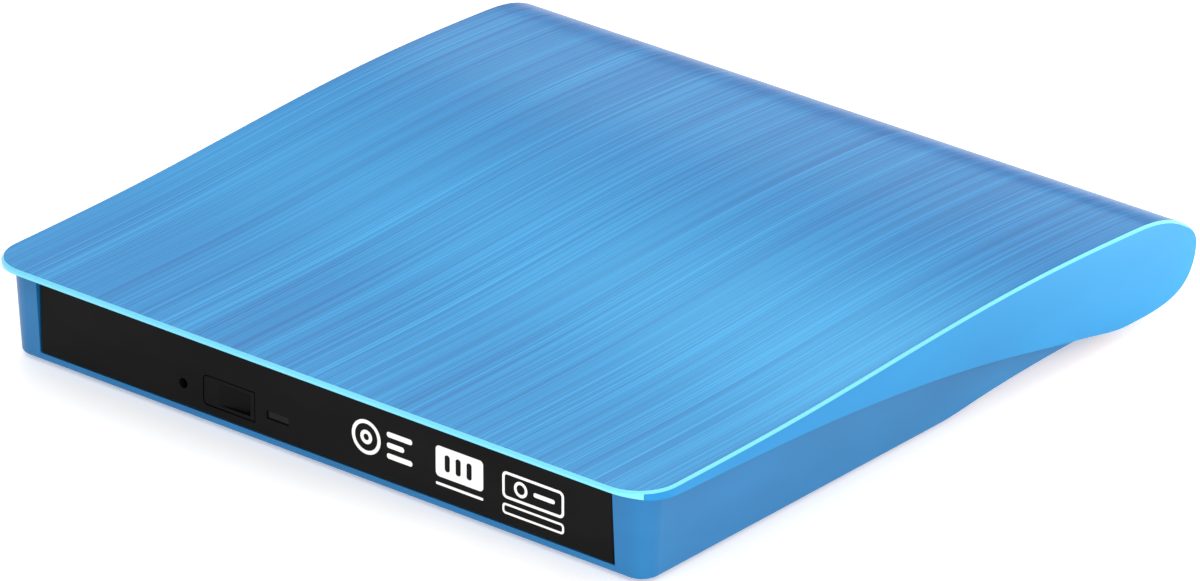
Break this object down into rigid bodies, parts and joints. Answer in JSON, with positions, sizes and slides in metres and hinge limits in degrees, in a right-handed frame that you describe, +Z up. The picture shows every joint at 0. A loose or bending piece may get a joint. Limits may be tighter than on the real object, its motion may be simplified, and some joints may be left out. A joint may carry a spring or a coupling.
{
  "type": "external optical drive",
  "caption": "Slim tray-loading external disc drive: wedge-shaped case with a rear roll, brushed top cover, sliding tray with spindle and travelling pickup.",
  "frame": {"origin": "under the middle of the case, on the surface that the feet stand on", "axes": "+X to the right seen from the front, +Y from the front to the rear roll, +Z up; the tray opens towards -Y"},
  "size_m": [0.1482, 0.1504, 0.0213],
  "materials": {
    "cover_blue": "brushed hairline, blue lacquer",
    "base_blue": "smooth satin-gloss moulding",
    "bezel_black": "fine matte moulding",
    "rubber_black": "matte rubber",
    "foam_grey": "closed-cell foam",
    "board_green": "solder mask",
    "chip_black": "moulded epoxy",
    "shell_steel": "zinc-plated sheet",
    "steel": "ground and plated",
    "rod_chrome": "polished",
    "tray_black": "matte moulding",
    "pickup_metal": "die-cast",
    "lens_glass": "coated lens",
    "light_clear": "clear moulding, dark when off",
    "ribbon_film": "polyester film with tinned tracks"
  },
  "bodies": {
    "case": {"top_cover": "cover_blue", "base_case": "base_blue", "rubber_feet": "rubber_black", "case_screws": "steel", "foam_pads": "foam_grey", "usb_board": "board_green", "usb_board_screws": "steel", "usb_board_chips": "chip_black", "usb_socket": "steel", "usb_tongue": "chip_black", "sata_plug": "chip_black", "sata_receptacle": "chip_black", "drive_top_shell": "shell_steel", "drive_bottom_shell": "shell_steel", "drive_screws": "steel", "connector_board": "board_green", "connector_screws": "steel", "ribbon_cable": "ribbon_film", "latch_pin": "steel", "rail_guide_left": "tray_black", "rail_guide_right": "tray_black"},
    "rail_left": {"rail_left": "steel"},
    "rail_right": {"rail_right": "steel"},
    "tray": {"tray": "tray_black", "tray_cover": "shell_steel", "tray_screws": "steel", "bezel": "bezel_black", "light_pipe": "light_clear", "front_board": "board_green", "eject_switch": "chip_black", "led_chip": "light_clear", "solenoid": "steel", "solenoid_core": "steel", "latch_pivot": "steel", "tray_board": "board_green", "tray_board_chips": "chip_black", "traverse_frame": "shell_steel", "guide_rods": "rod_chrome", "dampers": "rubber_black", "damper_screws": "steel", "spindle_motor": "steel", "stepper_motor": "steel", "mechanism_cover": "shell_steel"},
    "button": {"eject_button": "bezel_black"},
    "spindle": {"turntable": "tray_black", "hub_claws": "tray_black", "turntable_pad": "rubber_black"},
    "screw": {"lead_screw": "rod_chrome"},
    "pickup": {"pickup_sled": "pickup_metal"},
    "lens": {"lens_holder": "tray_black", "objective_lens": "lens_glass"},
    "latch": {"latch_hook": "tray_black"},
    "lever": {"emergency_lever": "bezel_black"}
  },
  "joints": [
    {"name": "tray_slide", "type": "slide", "parent": "case", "child": "tray", "axis": [0, -1, 0], "range_m": [0, 0.13]},
    {"name": "rail_left_slide", "type": "slide", "parent": "case", "child": "rail_left", "axis": [0, -1, 0], "range_m": [0, 0.065]},
    {"name": "rail_right_slide", "type": "slide", "parent": "case", "child": "rail_right", "axis": [0, -1, 0], "range_m": [0, 0.065]},
    {"name": "eject_press", "type": "slide", "parent": "tray", "child": "button", "axis": [0, 1, 0], "range_m": [0, 0.0005], "stiffness_N_per_m": 400, "springref_m": -0.0005},
    {"name": "disc_spin", "type": "hinge", "parent": "tray", "child": "spindle", "pos_m": [0, -0.0062, 0.011], "axis": [0, 0, 1], "continuous": true},
    {"name": "screw_turn", "type": "hinge", "parent": "tray", "child": "screw", "pos_m": [0.01287, 0.0046, 0.0077], "axis": [0.6428, -0.766, 0], "range_deg": [0, 3360.5]},
    {"name": "pickup_slide", "type": "slide", "parent": "tray", "child": "pickup", "axis": [0.6428, -0.766, 0], "range_m": [0, 0.028]},
    {"name": "lens_focus", "type": "slide", "parent": "pickup", "child": "lens", "axis": [0, 0, 1], "range_m": [-0.0003, 0.0003], "stiffness_N_per_m": 60},
    {"name": "latch_swing", "type": "hinge", "parent": "tray", "child": "latch", "pos_m": [-0.0495, -0.058, 0.0075], "axis": [0, 0, 1], "range_deg": [0, 9]},
    {"name": "emergency_push", "type": "slide", "parent": "tray", "child": "lever", "axis": [0, 1, 0], "range_m": [0, 0.0015], "stiffness_N_per_m": 200, "springref_m": -0.0005}
  ],
  "couplings": [
    {"joint": "rail_left_slide", "follows": "tray_slide", "ratio": 0.5},
    {"joint": "rail_right_slide", "follows": "tray_slide", "ratio": 0.5},
    {"joint": "screw_turn", "follows": "pickup_slide", "rad_per_m": 2094.4}
  ]
}
